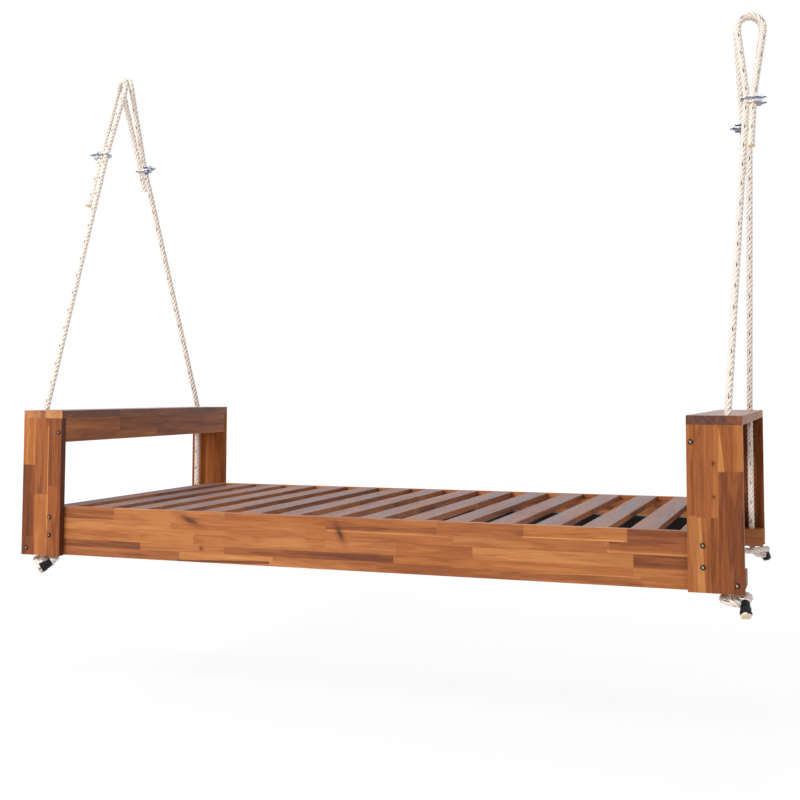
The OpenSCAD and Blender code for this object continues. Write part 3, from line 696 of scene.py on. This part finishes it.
bronze = metal("bronzed steel", (0.085, 0.062, 0.046), (0.03, 0.022, 0.018), rough=0.22)
# The sockets' bright metal is a painted reflection
socket_glint = metal("socket glint", (0.58, 0.54, 0.48), (0.30, 0.27, 0.23), 500.0, 0.3)
POST_FACE = 0.525
BOLT_PLACES = ((0.974, 0.385), (1.002, 0.120), (1.002, 0.0645), (1.086, 0.022))
BOLT_L, SHANK_R, TIP_R, SOCKET_R, SOCKET_FLOOR = 0.036, 0.004, 0.0032, 0.0025, 0.0018
ROUND = 24          # corners round a bolt
# Height over the post and radius, from the floor of the socket over the head to the tip
bolt_line = [
    (SOCKET_FLOOR, SOCKET_R), (0.0042, SOCKET_R), (0.0044, 0.0032), (0.0044, 0.0040),
    (0.0041, 0.0050), (0.0033, 0.0060), (0.0021, 0.0067), (0.0009, 0.0070), (0.0, 0.0070),
    (0.0, SHANK_R), (-BOLT_L + 0.0008, SHANK_R), (-BOLT_L, TIP_R)]
corners, faces, in_socket = [], [], []
for x, z in BOLT_PLACES:
    for side in (-1, 1):
        for row in (-1, 1):
            first = len(corners)
            for height, radius in bolt_line:
                for k in range(ROUND):
                    angle = 2 * math.pi * k / ROUND
                    reach = radius
                    if radius == SOCKET_R:
                        # Six flats in the socket
                        reach = radius / math.cos((angle + 0.5) % (math.pi / 3) - math.pi / 6)
                    corners.append((side * x + reach * math.cos(angle),
                                    row * (POST_FACE + height),
                                    z - HANG + reach * math.sin(angle)))
            for j in range(len(bolt_line) - 1):
                for k in range(ROUND):
                    p, q = first + j * ROUND + k, first + j * ROUND + (k + 1) % ROUND
                    faces.append((p, q, q + ROUND, p + ROUND)[::row])
                    in_socket.append(j == 0)
            tip = first + (len(bolt_line) - 1) * ROUND
            faces.append([first + k for k in range(ROUND)][::-row])
            faces.append([tip + k for k in range(ROUND)][::row])
            in_socket += [True, False]
mesh = bpy.data.meshes.new("button_bolts")
mesh.from_pydata(corners, [], faces)
mesh.materials.append(bronze)
mesh.materials.append(socket_glint)
for face, inside in zip(mesh.polygons, in_socket):
    face.material_index = int(inside)
    face.use_smooth = not inside and len(face.vertices) == 4
button_bolts = bpy.data.objects.new("button_bolts", mesh)
bpy.context.scene.collection.objects.link(button_bolts)
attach(button_bolts, "bed")
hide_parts("post_bolts")

# ---- Inserts and screws ----
# Brass inserts behind the posts take the bolts. Steel screws hold the slats from below, through
# the ledgers, and the end rails to the rope blocks.
clad("bolt_inserts", metal("brass", (0.7, 0.5, 0.2), (0.5, 0.34, 0.12)))
steel = metal("screw steel", (0.6, 0.6, 0.6), (0.4, 0.4, 0.42))
for name in ("slat_screws", "end_rail_screws"):
    clad(name, steel)

# ---- Studio ----
# A pale floor half a metre below the bed, which fades to white, a white room, and three soft
# lamps: the main one at the front left, a weak one at the front right and one behind.
FLOOR_R, FLOOR_Z = 30, -2.1


def shown(tree):
    """Counts the rays that show the room itself: to the camera, off metal or through glass."""
    ray = Socket(tree)
    return (ray.node("LightPath", {}, {}, "Is Camera Ray")
            + ray.node("LightPath", {}, {}, "Is Glossy Ray")
            + ray.node("LightPath", {}, {}, "Is Transmission Ray"))


floor_mesh = bpy.data.meshes.new("floor")
floor_mesh.from_pydata([(-FLOOR_R, -FLOOR_R, 0), (FLOOR_R, -FLOOR_R, 0), (FLOOR_R, FLOOR_R, 0),
                        (-FLOOR_R, FLOOR_R, 0)], [], [(0, 1, 2, 3)])
floor = bpy.data.objects.new("floor", floor_mesh)
floor.location.z = FLOOR_Z
bpy.context.scene.collection.objects.link(floor)
pale, shader, place = finish("pale floor", Base_Color=(0.86, 0.86, 0.86), Roughness=0.9)
light = place.node("Emission", {}, {"Color": (1, 1, 1), "Strength": 1.05})
far = place.node("VectorMath", {"operation": "LENGTH"}, {0: place}, "Value").smooth(2.5, 7.0)
lit = Socket(pale.node_tree, shader.outputs[0])
mixed = place.node("MixShader", {}, {0: shown(pale.node_tree) * (far * 0.16 + 0.84),
                                     1: lit, 2: light})
feed(pale.node_tree.nodes["Material Output"], "Surface", mixed)
floor_mesh.materials.append(pale)

world = bpy.data.worlds.new("studio")
world.use_nodes = True
bpy.context.scene.world = world
room = world.node_tree.nodes["Background"]
room.inputs["Color"].default_value = (1, 1, 1, 1)
rays = shown(world.node_tree)
feed(room, "Strength", rays.math("MINIMUM", rays, 1.0) * 0.6 + 0.4)


def lamp(name, place, size, power):
    """A round soft lamp that is aimed at the bed."""
    light = bpy.data.lights.new(name, "AREA")
    light.shape, light.size, light.energy = "DISK", size, power
    made = bpy.data.objects.new(name, light)
    made.location = place
    aim = Vector((0, 0, -1.3)) - Vector(place)
    made.rotation_euler = aim.to_track_quat("-Z", "Y").to_euler()
    bpy.context.scene.collection.objects.link(made)


lamp("key", (-2.4, -4.6, 1.6), 2.6, 235)
lamp("fill", (3.0, -4.5, 0.2), 2.0, 30)
lamp("back", (0.6, 4.2, 4.0), 3.0, 150)
